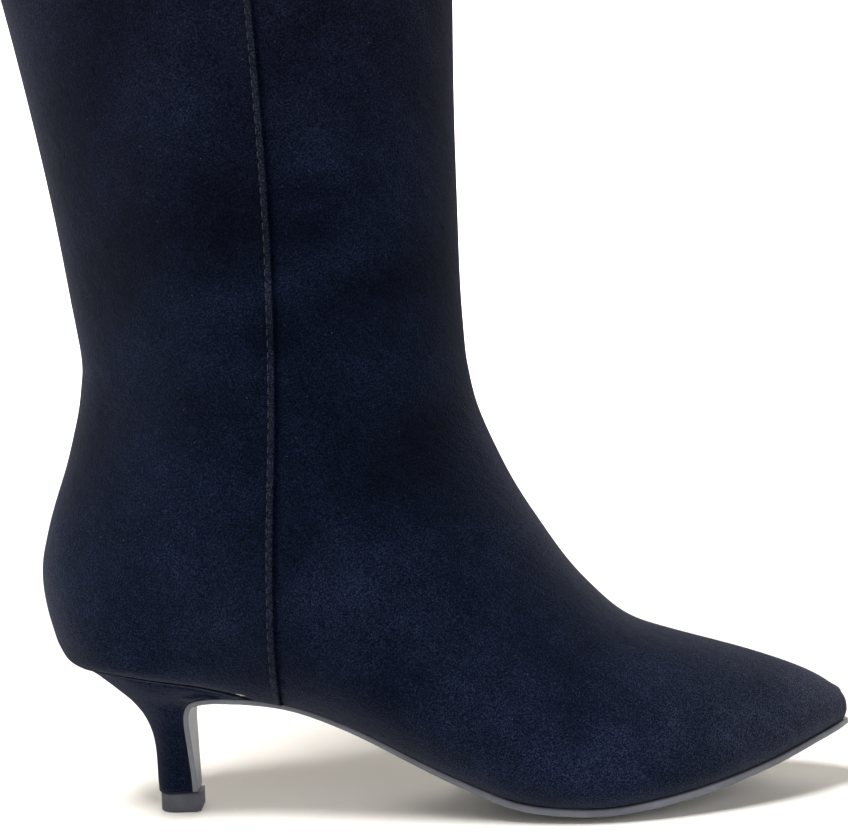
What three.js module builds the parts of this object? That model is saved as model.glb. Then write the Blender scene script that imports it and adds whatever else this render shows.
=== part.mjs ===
// Suede boot for the right foot: pointed toe, low curved heel, plain pull-on shaft.
// Millimetres. +X runs to the toe, +Z up, the lateral side faces -Y.
import * as THREE from 'three';

// Lengths and heights
const footLength = 271;      // back of the heel to the tip of the toe
const bootHeight = 330;      // floor to the collar
const heelHeight = 52;       // floor to the lower edge of the upper at the back
const ankleHeight = 155;     // floor to the narrowest place of the shaft
const instepHeight = 107;    // floor to the bend in front of the ankle
const toeHeight = 21.9;      // floor to the lower edge of the upper at the toe
const flareBack = 31;        // how far the shaft leans out behind from ankle to collar
const flareFront = 2;        // the same in front

// Widths
const heelWidth = 64;        // the upper round the heel
const ankleWidth = 77;       // the upper at the ankle
const ballWidth = 88;        // the upper round the ball of the foot
const collarWidth = 82;
const toeSwing = 4;          // how far the toe points to the inner side
const waistSwing = 3.4;      // how far the waist of the sole bows to the outer side

// Walls and clearances
const wall = 2;              // suede and lining
const lap = 0.8;             // height of the rear panel's edge over the front panel
const lapRun = 15;           // over which that height fades to the rear
const lapFace = 0.3;         // how far the edge leans
const gap = 0.3;             // between pieces that touch
const soleThickness = 2.4;   // at the forefoot
const waistThickness = 1.7;  // at the arch and over the front of the heel
const soleEdge = 0.8;        // how far the sole stands out past the upper at ball and toe
const archSetIn = 1.5;       // how far it lies in under the upper at the arch
const soleCrown = 2.8;       // how far the middle of the forefoot hangs below the sole's edge
const insoleThickness = 2.2;
const insoleEnd = 2;         // half width of the insole's two ends
const tipHeight = 6.5;       // the top piece under the heel
const tipSetIn = 0.6;        // how far the heel's cover overhangs the top piece
const tipBevel = 0.4;
const settleRun = 16;        // over which the sole parts from the heel and joins the feather line

// Numbers of facets
const ringCount = 35;
const rearColumns = 11;
const frontColumns = 20;
const outlineSamples = 240;
const breastSteps = 22;
const soleSteps = 28;
const soleColumns = 8;
const insoleSteps = 24;
const insoleColumns = 4;
const heelColumns = 12;
const tipSegments = 20;

const lerp = THREE.MathUtils.lerp;
const clamp = THREE.MathUtils.clamp;

// Steps along a line from 0 to 1 that lie closer together, or wider apart, towards its end.
const crowded = (run, first) => run * (first + (1 - first) * run);
const rearSpacing = 0.7;     // first steps from the back to the seam, as a share of even ones
const frontSpacing = 1.35;   // first steps from the seam to the nose
const soleSpacing = 1.45;    // first steps from the heel to the toe

// A smooth curve through one column of a table whose rows carry their own place in `at`.
function curveThrough(rows, column) {
  const slope = (i) => {
    const a = rows[Math.max(i - 1, 0)];
    const b = rows[Math.min(i + 1, rows.length - 1)];
    return (b[column] - a[column]) / (b.at - a.at);
  };
  return (at) => {
    let i = 0;
    while (i < rows.length - 2 && at > rows[i + 1].at) i += 1;
    const run = rows[i + 1].at - rows[i].at;
    const t = clamp((at - rows[i].at) / run, 0, 1);
    const t2 = t * t;
    const t3 = t2 * t;
    return rows[i][column] * (2 * t3 - 3 * t2 + 1) + slope(i) * run * (t3 - 2 * t2 + t)
      + rows[i + 1][column] * (3 * t2 - 2 * t3) + slope(i + 1) * run * (t3 - t2);
  };
}

// The same for several columns at once.
const curvesThrough = (rows, keys) => Object.fromEntries(keys.map((key) => [key, curveThrough(rows, key)]));

// The lower edge of the upper, seen from the side. `at` and the swing are measured along the foot;
// `heel` is a share of the heel's height and `toe` a share of the toe's height.
const featherRows = [
  { at: 0.0359, heel: 1.000, toe: 0.00, swing: 0.0 },
  { at: 0.0897, heel: 0.986, toe: 0.00, swing: 0.0 },
  { at: 0.1475, heel: 0.932, toe: 0.00, swing: 0.0 },
  { at: 0.2062, heel: 0.876, toe: 0.00, swing: -0.2 },
  { at: 0.2580, heel: 0.798, toe: 0.00, swing: -0.5 },
  { at: 0.2949, heel: 0.756, toe: 0.00, swing: -0.75 },
  { at: 0.3417, heel: 0.671, toe: 0.00, swing: -0.95 },
  { at: 0.3896, heel: 0.560, toe: 0.00, swing: -1.0 },
  { at: 0.4354, heel: 0.441, toe: 0.00, swing: -1.0 },
  { at: 0.4832, heel: 0.321, toe: 0.00, swing: -0.95 },
  { at: 0.5310, heel: 0.217, toe: 0.00, swing: -0.8 },
  { at: 0.5759, heel: 0.133, toe: 0.00, swing: -0.55 },
  { at: 0.6346, heel: 0.098, toe: 0.00, swing: -0.2 },
  { at: 0.6865, heel: 0.086, toe: 0.03, swing: 0.05 },
  { at: 0.7492, heel: 0.050, toe: 0.205, swing: 0.3 },
  { at: 0.8080, heel: 0.020, toe: 0.398, swing: 0.5 },
  { at: 0.8857, heel: 0.000, toe: 0.657, swing: 0.75 },
  { at: 0.9525, heel: 0.000, toe: 0.886, swing: 0.93 },
  { at: 0.9933, heel: 0.000, toe: 1.00, swing: 1.0 },
];
const featherHeel = curveThrough(featherRows, 'heel');
const featherToe = curveThrough(featherRows, 'toe');
const featherSwing = curveThrough(featherRows, 'swing');
const featherZ = (x) => featherHeel(x / footLength) * heelHeight + featherToe(x / footLength) * toeHeight;
const swingY = (x) => {
  const s = featherSwing(x / footLength);
  return s < 0 ? s * waistSwing : s * toeSwing;
};

// Rings of the foot, from the feather line at the sole up to the ankle. Each ring has a back point and a
// front point. backAt and frontAt are shares of the foot's length; backUp is a share of the way from the
// heel's height to the ankle; vamp is a share of the way from the toe's height to the instep, and above
// from the instep to the ankle. heel, waist and ball are half widths, as shares of half the heel's, the
// ankle's and the ball's width. backRound and noseRound are the lengths over which the ring's ends close,
// as shares of the foot's length, with blunt and open as the powers of the nose. sag says how far the
// ring still follows the arch, and swing how far it follows the sole's bend.
const footRings = [
  { backAt: 0.0362, backUp: 0.000, frontAt: 0.9965, vamp: 0.000, above: 0, heel: 0.788, waist: 0.535,
    ball: 0.882, backRound: 0.0887, noseRound: 0.3397, blunt: 1.80, open: 0.750, sag: 1.00, swing: 1.0 },
  { backAt: 0.0266, backUp: 0.019, frontAt: 1.0000, vamp: 0.032, above: 0, heel: 0.863, waist: 0.639,
    ball: 0.945, backRound: 0.0956, noseRound: 0.3467, blunt: 1.80, open: 0.720, sag: 0.97, swing: 1.0 },
  { backAt: 0.0199, backUp: 0.049, frontAt: 0.9985, vamp: 0.075, above: 0, heel: 0.913, waist: 0.738,
    ball: 0.986, backRound: 0.1036, noseRound: 0.3547, blunt: 1.80, open: 0.690, sag: 0.93, swing: 1.0 },
  { backAt: 0.0147, backUp: 0.080, frontAt: 0.9875, vamp: 0.123, above: 0, heel: 0.944, waist: 0.821,
    ball: 1.000, backRound: 0.1106, noseRound: 0.3617, blunt: 1.80, open: 0.660, sag: 0.87, swing: 1.0 },
  { backAt: 0.0107, backUp: 0.117, frontAt: 0.9583, vamp: 0.187, above: 0, heel: 0.963, waist: 0.894,
    ball: 0.991, backRound: 0.1186, noseRound: 0.3617, blunt: 1.85, open: 0.630, sag: 0.79, swing: 0.9 },
  { backAt: 0.0059, backUp: 0.165, frontAt: 0.9097, vamp: 0.255, above: 0, heel: 0.975, waist: 0.951,
    ball: 0.964, backRound: 0.1255, noseRound: 0.3547, blunt: 1.90, open: 0.600, sag: 0.68, swing: 0.8 },
  { backAt: 0.0022, backUp: 0.218, frontAt: 0.8462, vamp: 0.323, above: 0, heel: 0.984, waist: 0.987,
    ball: 0.932, backRound: 0.1325, noseRound: 0.3397, blunt: 1.90, open: 0.575, sag: 0.55, swing: 0.7 },
  { backAt: 0.0000, backUp: 0.277, frontAt: 0.7786, vamp: 0.388, above: 0, heel: 0.994, waist: 1.008,
    ball: 0.909, backRound: 0.1405, noseRound: 0.3208, blunt: 1.95, open: 0.555, sag: 0.42, swing: 0.6 },
  { backAt: 0.0011, backUp: 0.340, frontAt: 0.7269, vamp: 0.455, above: 0, heel: 1.000, waist: 1.018,
    ball: 0.895, backRound: 0.1475, noseRound: 0.3029, blunt: 2.00, open: 0.540, sag: 0.29, swing: 0.5 },
  { backAt: 0.0056, backUp: 0.398, frontAt: 0.6889, vamp: 0.559, above: 0, heel: 1.000, waist: 1.018,
    ball: 0.886, backRound: 0.1554, noseRound: 0.2879, blunt: 2.00, open: 0.525, sag: 0.18, swing: 0.4 },
  { backAt: 0.0133, backUp: 0.476, frontAt: 0.6539, vamp: 0.685, above: 0, heel: 1.000, waist: 1.013,
    ball: 0.882, backRound: 0.1624, noseRound: 0.2730, blunt: 2.00, open: 0.515, sag: 0.10, swing: 0.3 },
  { backAt: 0.0243, backUp: 0.563, frontAt: 0.6207, vamp: 0.844, above: 0, heel: 1.000, waist: 1.008,
    ball: 0.877, backRound: 0.1694, noseRound: 0.2620, blunt: 2.00, open: 0.508, sag: 0.05, swing: 0.2 },
  { backAt: 0.0358, backUp: 0.650, frontAt: 0.5911, vamp: 1.000, above: 0.00, heel: 0.994, waist: 1.000,
    ball: 0.870, backRound: 0.1773, noseRound: 0.2531, blunt: 2.00, open: 0.503, sag: 0.02, swing: 0.1 },
  { backAt: 0.0454, backUp: 0.741, frontAt: 0.5668, vamp: 1.000, above: 0.29, heel: 0.994, waist: 0.995,
    ball: 0.866, backRound: 0.1883, noseRound: 0.2451, blunt: 2.00, open: 0.500, sag: 0.00, swing: 0.0 },
  { backAt: 0.0539, backUp: 0.833, frontAt: 0.5476, vamp: 1.000, above: 0.57, heel: 1.000, waist: 0.992,
    ball: 0.864, backRound: 0.1993, noseRound: 0.2401, blunt: 2.00, open: 0.500, sag: 0.00, swing: 0.0 },
  { backAt: 0.0587, backUp: 0.922, frontAt: 0.5384, vamp: 1.000, above: 0.83, heel: 1.013, waist: 0.992,
    ball: 0.864, backRound: 0.2102, noseRound: 0.2381, blunt: 2.00, open: 0.500, sag: 0.00, swing: 0.0 },
  { backAt: 0.0594, backUp: 1.000, frontAt: 0.5354, vamp: 1.000, above: 1.00, heel: 1.031, waist: 0.995,
    ball: 0.866, backRound: 0.2212, noseRound: 0.2361, blunt: 2.00, open: 0.500, sag: 0.00, swing: 0.0 },
];

// Rings of the shaft, from the ankle up to the collar. up is a share of the shaft's height, back and front
// are shares of the flares, and wide is a share of the way from the ankle's width to the collar's.
const shaftRings = [
  { up: 0.114, back: 0.093, front: -0.4, wide: 0.05 },
  { up: 0.257, back: 0.212, front: -0.4, wide: 0.20 },
  { up: 0.429, back: 0.386, front: -0.35, wide: 0.45 },
  { up: 0.611, back: 0.598, front: 0.0, wide: 0.70 },
  { up: 0.806, back: 0.833, front: 0.5, wide: 0.90 },
  { up: 1.000, back: 1.000, front: 1.0, wide: 1.00 },
];

// Every ring as real lengths, numbered evenly from feather line to collar.
function ringSizes() {
  const sizes = footRings.map((r) => ({
    backX: r.backAt * footLength,
    backZ: lerp(heelHeight, ankleHeight, r.backUp),
    frontX: r.frontAt * footLength,
    frontZ: lerp(toeHeight, instepHeight, r.vamp) + r.above * (ankleHeight - instepHeight),
    heel: r.heel * heelWidth / 2,
    waist: r.waist * ankleWidth / 2,
    ball: r.ball * ballWidth / 2,
    backRound: r.backRound * footLength,
    noseRound: r.noseRound * footLength,
    blunt: r.blunt,
    open: r.open,
    sag: r.sag,
    swing: r.swing,
  }));
  const ankle = sizes[sizes.length - 1];
  for (const r of shaftRings) {
    const backX = ankle.backX - r.back * flareBack;
    const frontX = ankle.frontX + r.front * flareFront;
    const half = (frontX - backX) / 2;
    const width = (ofAnkle) => lerp(ofAnkle, collarWidth / 2, r.wide);
    const z = lerp(ankleHeight, bootHeight, r.up);
    sizes.push({
      ...ankle,
      backX,
      frontX,
      backZ: z,
      frontZ: z,
      heel: width(ankle.heel),
      waist: width(ankle.waist),
      ball: width(ankle.ball),
      backRound: lerp(ankle.backRound, half, r.wide),
      noseRound: lerp(ankle.noseRound, half, r.wide),
    });
  }
  return sizes.map((r, i) => ({ ...r, at: i }));
}
const rings = ringSizes();
const ringColumns = Object.keys(rings[0]).filter((key) => key !== 'at');
const ringCurves = curvesThrough(rings, ringColumns);
const ringAt = (v) => Object.fromEntries(ringColumns.map((key) => [key, ringCurves[key](v)]));

// Where along a ring its three named half widths lie, as shares of its length.
const stations = { heel: 0.10, waist: 0.37, ball: 0.65 };

// Half the width of a ring at x, its ends closed round the back and the nose.
function halfWidth(ring, x) {
  const length = ring.frontX - ring.backX;
  const s = (x - ring.backX) / length;
  const rows = [
    { at: 0, w: ring.heel },
    { at: stations.heel, w: ring.heel },
    { at: stations.waist, w: ring.waist },
    { at: stations.ball, w: ring.ball },
    { at: 1, w: ring.ball },
  ];
  const back = clamp((x - ring.backX) / ring.backRound, 0, 1);
  const nose = clamp((ring.frontX - x) / ring.noseRound, 0, 1);
  const backCap = Math.sqrt(1 - (1 - back) ** 2);
  const noseCap = (1 - (1 - nose) ** ring.blunt) ** ring.open;
  return curveThrough(rows, 'w')(s) * backCap * noseCap;
}

// Height of a ring at x: a straight line from its back to its front, sagging as the feather line does.
const featherLine = (s) => {
  const first = rings[0];
  const x = lerp(first.backX, first.frontX, s);
  return featherZ(x) - lerp(first.backZ, first.frontZ, s);
};
function ringZ(ring, x) {
  const s = (x - ring.backX) / (ring.frontX - ring.backX);
  return lerp(ring.backZ, ring.frontZ, s) + ring.sag * featherLine(s);
}

// Centre of a ring at x, across the foot.
const centreY = (ring, x) => ring.swing * swingY(x);

// Side seams, front to back places at heights up the boot.
const seamRows = [
  { at: 0.00, x: 0.2959 },
  { at: 0.25, x: 0.2979 },
  { at: 0.42, x: 0.3079 },
  { at: 0.56, x: 0.3104 },
  { at: 0.68, x: 0.3069 },
  { at: 0.80, x: 0.2999 },
  { at: 1.00, x: 0.2859 },
];
const seamCurve = curveThrough(seamRows, 'x');
const seamX = (z) => seamCurve(z / bootHeight) * footLength;

// One side of a ring as points: the rear panel from the back to the seam, then the front panel from the
// seam to the nose. Points lie closer together towards the back and the nose.
function sideOfRing(ring, side) {
  const points = [];
  for (let i = 0; i <= outlineSamples; i += 1) {
    const s = (1 - Math.cos(Math.PI * i / outlineSamples)) / 2;
    const x = lerp(ring.backX, ring.frontX, s);
    const y = centreY(ring, x) + side * halfWidth(ring, x);
    points.push(new THREE.Vector3(x, y, ringZ(ring, x)));
  }
  const lengths = [0];
  for (let i = 1; i < points.length; i += 1) {
    lengths.push(lengths[i - 1] + points[i].distanceTo(points[i - 1]));
  }
  const total = lengths[lengths.length - 1];
  const pointAt = (length) => {
    let i = 1;
    while (i < lengths.length - 1 && lengths[i] < length) i += 1;
    const t = (length - lengths[i - 1]) / (lengths[i] - lengths[i - 1]);
    return points[i - 1].clone().lerp(points[i], clamp(t, 0, 1));
  };
  const past = points.findIndex((p) => p.x > seamX(p.z));
  const overshoot = (p) => p.x - seamX(p.z);
  const share = overshoot(points[past]) / (overshoot(points[past]) - overshoot(points[past - 1]));
  const seam = lerp(lengths[past], lengths[past - 1], share);
  const rear = [];
  for (let i = 0; i <= rearColumns; i += 1) {
    const run = i / rearColumns;
    rear.push(pointAt(seam * crowded(run, rearSpacing)));
  }
  const front = [];
  for (let i = 0; i <= frontColumns; i += 1) {
    const run = i / frontColumns;
    front.push(pointAt(lerp(seam + lapFace, total, crowded(run, frontSpacing))));
  }
  return { rear, front };
}

// A whole ring, once round from the back: lateral side to the nose, then the medial side to the back.
// Each point knows how far behind the seam it lies, and -1 in front of it.
function wholeRing(ring) {
  const lateral = sideOfRing(ring, -1);
  const medial = sideOfRing(ring, 1);
  const marked = (points, seam) => (
    points.map((p) => ({ point: p, behind: seam ? seam.distanceTo(p) : -1 })));
  const side = (s) => [...marked(s.rear, s.rear[rearColumns]), ...marked(s.front, null)];
  const there = side(lateral);
  const back = side(medial).slice(1, -1).reverse();
  return [...there, ...back];
}

// A closed mesh from triangles that share vertices, turned so that its faces point out.
function solid(vertices, triangles) {
  let volume = 0;
  for (const [a, b, c] of triangles) {
    volume += vertices[a].dot(vertices[b].clone().cross(vertices[c])) / 6;
  }
  const index = triangles.flatMap(([a, b, c]) => (volume > 0 ? [a, b, c] : [a, c, b]));
  const geometry = new THREE.BufferGeometry();
  const numbers = vertices.flatMap((p) => [p.x, p.y, p.z]);
  geometry.setAttribute('position', new THREE.Float32BufferAttribute(numbers, 3));
  geometry.setIndex(index);
  geometry.computeVertexNormals();
  return geometry;
}

// Two triangles between four corners that go round a face.
const quad = (a, b, c, d) => [[a, b, c], [a, c, d]];

// Skin between rows of vertex numbers, each row closed on itself.
function skin(rows) {
  const faces = [];
  for (let r = 0; r + 1 < rows.length; r += 1) {
    const count = rows[r].length;
    for (let c = 0; c < count; c += 1) {
      const d = (c + 1) % count;
      faces.push(...quad(rows[r][c], rows[r][d], rows[r + 1][d], rows[r + 1][c]));
    }
  }
  return faces;
}

// The upper: outer rings from the feather line to the collar, inner rings one wall inside them.
function upperGeometry() {
  const grid = [];
  const last = rings.length - 1;
  for (let r = 0; r < ringCount; r += 1) {
    const v = last * r / (ringCount - 1);
    grid.push(wholeRing(ringAt(v)));
  }
  const columns = grid[0].length;
  const normalAt = (r, c) => {
    const at = (row, column) => grid[clamp(row, 0, ringCount - 1)][(column + columns) % columns].point;
    const round = at(r, c + 1).clone().sub(at(r, c - 1));
    const up = at(r + 1, c).clone().sub(at(r - 1, c));
    return round.cross(up).normalize();
  };
  const vertices = [];
  const add = (p) => vertices.push(p) - 1;
  const outer = grid.map((row, r) => row.map(({ point, behind }, c) => {
    const rise = behind < 0 ? 0 : lap * clamp(1 - behind / lapRun, 0, 1);
    return add(point.clone().addScaledVector(normalAt(r, c), rise));
  }));
  const innerRows = grid.map((_, r) => r).filter((r) => r % 2 === 0);
  const inner = innerRows.map((r) => grid[r].map(({ point }, c) => {
    const flat = r === 0 || r === ringCount - 1;
    const normal = normalAt(r, c);
    if (flat) normal.setZ(0).normalize();
    return add(point.clone().addScaledVector(normal, -wall));
  }));
  return solid(vertices, skin([inner[0], ...outer, ...inner.slice().reverse()]));
}

// Front of the heel in side view, from the top piece up and forward under the arch: the inner face of the
// sole lies along it. x is a share of the foot's length and z of the way from the top piece up to the seat.
// half is half the sole's width, as a share of half the heel's width, and under is how far the sole follows
// the foot's bend.
const breastRows = [
  { at: 0, x: 0.1760, z: 0.000, half: 0.18, under: 0 },
  { at: 1, x: 0.1750, z: 0.137, half: 0.20, under: 0 },
  { at: 2, x: 0.1738, z: 0.248, half: 0.24, under: 0 },
  { at: 3, x: 0.1724, z: 0.381, half: 0.29, under: 0 },
  { at: 4, x: 0.1711, z: 0.502, half: 0.34, under: 0 },
  { at: 5, x: 0.1716, z: 0.593, half: 0.39, under: 0 },
  { at: 6, x: 0.1754, z: 0.669, half: 0.43, under: 0.1 },
  { at: 7, x: 0.1830, z: 0.712, half: 0.49, under: 0.2 },
  { at: 8, x: 0.1963, z: 0.741, half: 0.56, under: 0.4 },
  { at: 9, x: 0.2142, z: 0.755, half: 0.62, under: 0.6 },
  { at: 10, x: 0.2324, z: 0.756, half: 0.655, under: 0.8 },
  { at: 11, x: 0.2510, z: 0.753, half: 0.67, under: 1 },
];
const breastCurves = curvesThrough(breastRows, ['x', 'z', 'half', 'under']);
const breastEnd = breastRows.length - 1;
const heelZ = (share) => lerp(tipHeight + gap, heelHeight, share);

// A point of that line, moved back into the heel by a distance.
function breastPoint(at, inward) {
  const place = (t) => [breastCurves.x(t) * footLength, heelZ(breastCurves.z(t))];
  const step = 0.05;         // in rows
  const [x, z] = place(at);
  const [x0, z0] = place(Math.max(at - step, 0));
  const [x1, z1] = place(Math.min(at + step, breastEnd));
  const run = Math.hypot(x1 - x0, z1 - z0);
  return [x - inward * (z1 - z0) / run, z + inward * (x1 - x0) / run];
}

// The forefoot's sole: thick is a share of the way from the arch's thickness to the forefoot's, crown a
// share of the crown, and edge of the way from the arch's set-in edge to the forefoot's outstanding one.
const soleRows = [
  { at: 0.25, thick: 0.0, crown: 0.10, edge: 0.0 },
  { at: 0.36, thick: 0.0, crown: 0.20, edge: 0.1 },
  { at: 0.46, thick: 0.4, crown: 0.40, edge: 0.5 },
  { at: 0.55, thick: 0.8, crown: 0.75, edge: 0.9 },
  { at: 0.61, thick: 1.0, crown: 1.00, edge: 1.0 },
  { at: 0.72, thick: 1.0, crown: 1.00, edge: 1.0 },
  { at: 0.80, thick: 1.0, crown: 0.60, edge: 1.0 },
  { at: 0.90, thick: 0.5, crown: 0.15, edge: 1.0 },
  { at: 1.00, thick: 0.2, crown: 0.00, edge: 1.0 },
];
const soleCurves = curvesThrough(soleRows, ['thick', 'crown', 'edge']);
const feather = rings[0];
const soleToeX = feather.frontX + soleEdge;
const soleStartX = breastCurves.x(breastEnd) * footLength;

// Half the sole's width at x: the feather line's, set in or out, with a blunt end at the toe.
function soleHalf(x) {
  const share = x / footLength;
  const stretched = lerp(soleStartX, feather.frontX, (x - soleStartX) / (soleToeX - soleStartX));
  return halfWidth(feather, stretched) + lerp(-archSetIn, soleEdge, clamp(soleCurves.edge(share), 0, 1));
}

// How far the sole hangs below its own edge, at x and at a share of its half width.
const crownDrop = (x, share) => soleCrown * soleCurves.crown(x / footLength) * (1 - share * share);

// Stations of the sole along its inner face: a place, the outward direction in side view, the half width,
// the thickness, how far it follows the foot's bend, and how much of the crown it has.
function soleStations() {
  const places = [];
  for (let i = 0; i < breastSteps; i += 1) {
    const at = breastEnd * i / breastSteps;
    const x = breastCurves.x(at) * footLength;
    places.push({
      x,
      z: heelZ(breastCurves.z(at)),
      half: breastCurves.half(at) * heelWidth / 2,
      under: breastCurves.under(at),
      thickness: waistThickness,
      crown: 0,
    });
  }
  const settle = featherZ(soleStartX) - gap - heelZ(breastCurves.z(breastEnd));
  const narrow = soleHalf(soleStartX) - breastCurves.half(breastEnd) * heelWidth / 2;
  for (let i = 0; i <= soleSteps; i += 1) {
    const x = lerp(soleStartX, soleToeX, crowded(i / soleSteps, soleSpacing));
    const near = 1 - THREE.MathUtils.smoothstep(x, soleStartX, soleStartX + settleRun);
    places.push({
      x,
      z: featherZ(Math.min(x, feather.frontX)) - gap - settle * near,
      half: soleHalf(x) - narrow * near,
      under: 1,
      thickness: lerp(waistThickness, soleThickness, soleCurves.thick(x / footLength)),
      crown: 1,
    });
  }
  return places.map((p, i) => {
    const a = places[Math.max(i - 1, 0)];
    const b = places[Math.min(i + 1, places.length - 1)];
    const run = Math.hypot(b.x - a.x, b.z - a.z);
    return { ...p, outX: (b.z - a.z) / run, outZ: (a.x - b.x) / run };
  });
}

// A slab from rows of points: an upper and a lower sheet with the same grid, closed round their edges.
function slab(above, below) {
  const vertices = [];
  const number = (sheet) => sheet.map((row) => row.map((p) => vertices.push(p) - 1));
  const top = number(above);
  const bottom = number(below);
  const faces = [];
  const rows = top.length;
  const columns = top[0].length;
  for (let r = 0; r + 1 < rows; r += 1) {
    for (let c = 0; c + 1 < columns; c += 1) {
      faces.push(...quad(top[r][c], top[r + 1][c], top[r + 1][c + 1], top[r][c + 1]));
      faces.push(...quad(bottom[r][c], bottom[r][c + 1], bottom[r + 1][c + 1], bottom[r + 1][c]));
    }
    const end = columns - 1;
    faces.push(...quad(top[r][0], bottom[r][0], bottom[r + 1][0], top[r + 1][0]));
    faces.push(...quad(top[r][end], top[r + 1][end], bottom[r + 1][end], bottom[r][end]));
  }
  for (let c = 0; c + 1 < columns; c += 1) {
    const end = rows - 1;
    faces.push(...quad(top[0][c], top[0][c + 1], bottom[0][c + 1], bottom[0][c]));
    faces.push(...quad(top[end][c], bottom[end][c], bottom[end][c + 1], top[end][c + 1]));
  }
  return solid(vertices, faces);
}

// Shares of a half width at which a slab has its points, from the lateral edge to the medial edge.
const across = (count) => Array.from({ length: count + 1 }, (_, i) => 2 * i / count - 1);

// The outsole: forefoot, arch, and the flap down the front of the heel.
function outsoleGeometry() {
  const above = [];
  const below = [];
  for (const p of soleStations()) {
    const centre = p.under * swingY(p.x);
    const drop = (share) => p.crown * crownDrop(p.x, share);
    above.push(across(soleColumns).map((s) => (
      new THREE.Vector3(p.x, centre + s * p.half, p.z - drop(s)))));
    below.push(across(soleColumns).map((s) => (
      new THREE.Vector3(
        p.x + p.outX * p.thickness,
        centre + s * p.half,
        Math.max(0, p.z + p.outZ * p.thickness - drop(s)),
      ))));
  }
  return slab(above, below);
}

// The insole: inside the upper's wall, on the sole and on the heel's seat. Half its width is the feather
// line's, less its clearance square to that line.
function insoleGeometry() {
  const clear = wall + 3 * gap;
  const small = footLength / 1000;
  const half = (x) => {
    const slope = (halfWidth(feather, x + small) - halfWidth(feather, x - small)) / (2 * small);
    return halfWidth(feather, x) - clear * Math.hypot(1, slope);
  };
  const nearest = (from, step) => {
    let x = from;
    while (half(x) < insoleEnd) x += step;
    return x;
  };
  const start = nearest(feather.backX + clear, small);
  const end = nearest(feather.frontX - clear, -small);
  const above = [];
  const below = [];
  for (let i = 0; i <= insoleSteps; i += 1) {
    const share = i / insoleSteps;
    const x = lerp(start, end, (1 - Math.cos(Math.PI * share)) / 2);
    const row = across(insoleColumns).map((s) => {
      const y = s * half(x);
      const drop = x < soleStartX ? 0 : crownDrop(x, y / soleHalf(x));
      return new THREE.Vector3(x, swingY(x) + y, featherZ(x) + gap / 2 - drop);
    });
    below.push(row);
    above.push(row.map((p) => p.clone().setZ(p.z + insoleThickness)));
  }
  return slab(above, below);
}

// Rings of the heel from the top piece up to the seat. back and up place the ring's back as shares of the
// foot's length and of the way up to the seat. breast says where its front lies on the breast's rows.
// wide is its greatest half width as a share of half the heel's width, round the length of its rounded
// back as a share of the foot's length, and seat how far it follows the seat's curve.
const heelRows = [
  { at: 0, back: 0.1317, up: 0.000, breast: 0.0, wide: 0.209, round: 0.0239, seat: 0 },
  { at: 1, back: 0.1307, up: 0.137, breast: 1.0, wide: 0.231, round: 0.0259, seat: 0 },
  { at: 2, back: 0.1305, up: 0.248, breast: 2.0, wide: 0.268, round: 0.0279, seat: 0 },
  { at: 3, back: 0.1287, up: 0.379, breast: 3.0, wide: 0.322, round: 0.0319, seat: 0 },
  { at: 4, back: 0.1239, up: 0.496, breast: 4.0, wide: 0.384, round: 0.0379, seat: 0 },
  { at: 5, back: 0.1146, up: 0.604, breast: 4.9, wide: 0.456, round: 0.0468, seat: 0.02 },
  { at: 6, back: 0.1011, up: 0.699, breast: 5.8, wide: 0.540, round: 0.0578, seat: 0.06 },
  { at: 7, back: 0.0852, up: 0.773, breast: 6.8, wide: 0.620, round: 0.0687, seat: 0.15 },
  { at: 8, back: 0.0687, up: 0.841, breast: 7.9, wide: 0.693, round: 0.0787, seat: 0.33 },
  { at: 9, back: 0.0543, up: 0.906, breast: 9.0, wide: 0.742, round: 0.0847, seat: 0.60 },
  { at: 10, back: 0.0438, up: 0.957, breast: 10.1, wide: 0.768, round: 0.0867, seat: 0.85 },
  { at: 11, back: 0.0384, up: 0.988, breast: 11.0, wide: 0.775, round: 0.0877, seat: 1 },
];
const heelColumnNames = Object.keys(heelRows[0]).filter((key) => key !== 'at');
const heelCurves = curvesThrough(heelRows, heelColumnNames);

// One ring of the heel, once round from the back, the flat front edge in the middle.
function heelRing(at) {
  const row = Object.fromEntries(heelColumnNames.map((key) => [key, heelCurves[key](at)]));
  const top = at >= heelRows.length - 1;
  const [frontX, breastZ] = breastPoint(row.breast, gap);
  const backX = row.back * footLength;
  const seatZ = (x) => featherZ(x) - gap;
  const backZ = lerp(heelZ(row.up), seatZ(backX), row.seat);
  const frontZ = top ? seatZ(frontX) : breastZ;
  const wide = row.wide * heelWidth / 2;
  const narrow = Math.min(wide, breastCurves.half(row.breast) * heelWidth / 2);
  const half = (x) => {
    const s = (x - backX) / (frontX - backX);
    const back = clamp((x - backX) / (row.round * footLength), 0, 1);
    return lerp(wide, narrow, s * s) * Math.sqrt(1 - (1 - back) ** 2);
  };
  const height = (x) => {
    const s = (x - backX) / (frontX - backX);
    const own = lerp(backZ, frontZ, s);
    return own + row.seat * (seatZ(x) - lerp(seatZ(backX), seatZ(frontX), s));
  };
  const point = (x, y) => new THREE.Vector3(x, row.seat * swingY(x) + y, height(x));
  const side = (sign) => {
    const points = [];
    for (let i = 0; i <= heelColumns; i += 1) {
      const s = 1 - Math.cos(Math.PI / 2 * i / heelColumns);
      const x = lerp(backX, frontX, s);
      points.push(point(x, sign * half(x)));
    }
    return points;
  };
  return [...side(-1), point(frontX, 0), ...side(1).slice(1).reverse()];
}

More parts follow.
